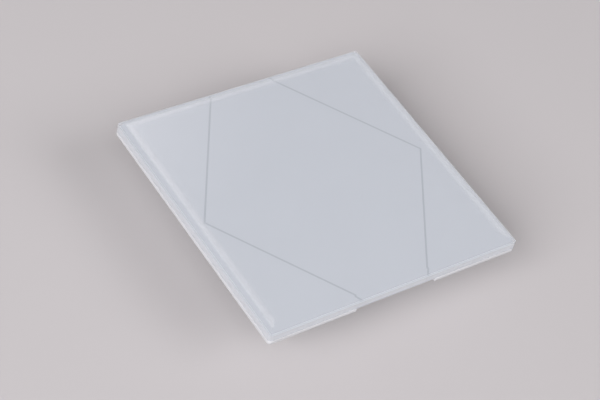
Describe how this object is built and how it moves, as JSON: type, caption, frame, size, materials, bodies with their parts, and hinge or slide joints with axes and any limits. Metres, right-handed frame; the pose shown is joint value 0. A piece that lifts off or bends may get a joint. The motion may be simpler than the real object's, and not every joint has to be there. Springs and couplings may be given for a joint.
{
  "type": "touch light switch",
  "caption": "Square glass touch light switch with a bevelled edge and thin zone lines, on a carrier with a release notch, clipped by its rear cup into a steel wall-box frame.",
  "frame": {"origin": "middle of the back of the rear cup, on which the part lies", "axes": "+Z out of the glass face, +X along the bottom edge, +Y towards the top edge"},
  "size_m": [0.088, 0.088, 0.025],
  "materials": {
    "clear_glass": "polished, clear",
    "white_print": "white print behind glass",
    "zone_ink": "grey printed ink",
    "bonding_sheet": "pale bonding sheet",
    "white_plastic": "satin white moulding",
    "circuit_board": "green solder mask",
    "copper_foil": "bare copper",
    "black_plastic": "moulded black",
    "gilt_brass": "gilt",
    "zinc_steel": "zinc plated",
    "ochre_plastic": "moulded box",
    "navy_sleeve": "shrink sleeve",
    "ferrite": "sintered",
    "blue_coating": "dipped coating",
    "relay_blue": "moulded case",
    "copper_winding": "enamelled wire",
    "soft_iron": "plated iron",
    "contact_bronze": "bronze strip",
    "grey_plastic": "glass-filled moulding",
    "housing_plastic": "fine textured moulding",
    "galvanised_steel": "galvanised sheet",
    "spring_steel": "rolled spring strip"
  },
  "bodies": {
    "wall_frame": {"mounting_frame": "galvanised_steel", "retaining_springs": "spring_steel", "spring_rivets": "zinc_steel"},
    "panel": {"glass_panel": "clear_glass", "decor_film": "white_print", "zone_lines": "zone_ink", "bonding_film": "bonding_sheet", "carrier": "white_plastic", "sensor_board": "circuit_board", "corner_electrodes": "copper_foil", "centre_electrode": "copper_foil", "touch_controller": "black_plastic", "sounder": "black_plastic", "header_socket": "black_plastic", "header_strip": "black_plastic", "header_pins": "gilt_brass", "main_board": "circuit_board", "board_screws": "zinc_steel", "film_capacitor": "ochre_plastic", "smoothing_capacitor": "navy_sleeve", "converter_inductor": "ferrite", "varistor": "blue_coating", "converter_chip": "black_plastic", "fuse": "black_plastic", "relay_base": "relay_blue", "relay_cover": "relay_blue", "relay_coil": "copper_winding", "relay_yoke": "soft_iron", "fixed_contact": "contact_bronze", "terminal_block": "grey_plastic", "terminal_bars": "contact_bronze", "rear_housing": "housing_plastic", "housing_screws": "zinc_steel"},
    "relay_arm": {"relay_armature": "soft_iron", "contact_leaf": "contact_bronze"},
    "screw_1": {"clamp_screw_1": "zinc_steel"},
    "cage_1": {"clamp_cage_1": "zinc_steel"},
    "screw_2": {"clamp_screw_2": "zinc_steel"},
    "cage_2": {"clamp_cage_2": "zinc_steel"},
    "screw_3": {"clamp_screw_3": "zinc_steel"},
    "cage_3": {"clamp_cage_3": "zinc_steel"}
  },
  "joints": [
    {"name": "panel_pull", "type": "slide", "parent": "wall_frame", "child": "panel", "axis": [0, 0, 1], "range_m": [0, 0.018]},
    {"name": "relay_pull_in", "type": "hinge", "parent": "panel", "child": "relay_arm", "pos_m": [0.0014, 0.0154, 0.0106], "axis": [0, 1, 0], "range_deg": [0, 5], "stiffness_Nm_per_rad": 0.03, "springref_deg": -2.86},
    {"name": "screw_1_turn", "type": "hinge", "parent": "panel", "child": "screw_1", "pos_m": [-0.007, -0.0182, 0.002], "axis": [0, 0, 1], "range_deg": [0, 1440]},
    {"name": "cage_1_clamp", "type": "slide", "parent": "panel", "child": "cage_1", "axis": [0, 0, -1], "range_m": [0, 0.002]},
    {"name": "screw_2_turn", "type": "hinge", "parent": "panel", "child": "screw_2", "pos_m": [0, -0.0182, 0.002], "axis": [0, 0, 1], "range_deg": [0, 1440]},
    {"name": "cage_2_clamp", "type": "slide", "parent": "panel", "child": "cage_2", "axis": [0, 0, -1], "range_m": [0, 0.002]},
    {"name": "screw_3_turn", "type": "hinge", "parent": "panel", "child": "screw_3", "pos_m": [0.007, -0.0182, 0.002], "axis": [0, 0, 1], "range_deg": [0, 1440]},
    {"name": "cage_3_clamp", "type": "slide", "parent": "panel", "child": "cage_3", "axis": [0, 0, -1], "range_m": [0, 0.002]}
  ],
  "couplings": [
    {"joint": "screw_1_turn", "follows": "cage_1_clamp", "rad_per_m": 12566},
    {"joint": "screw_2_turn", "follows": "cage_2_clamp", "rad_per_m": 12566},
    {"joint": "screw_3_turn", "follows": "cage_3_clamp", "rad_per_m": 12566}
  ]
}
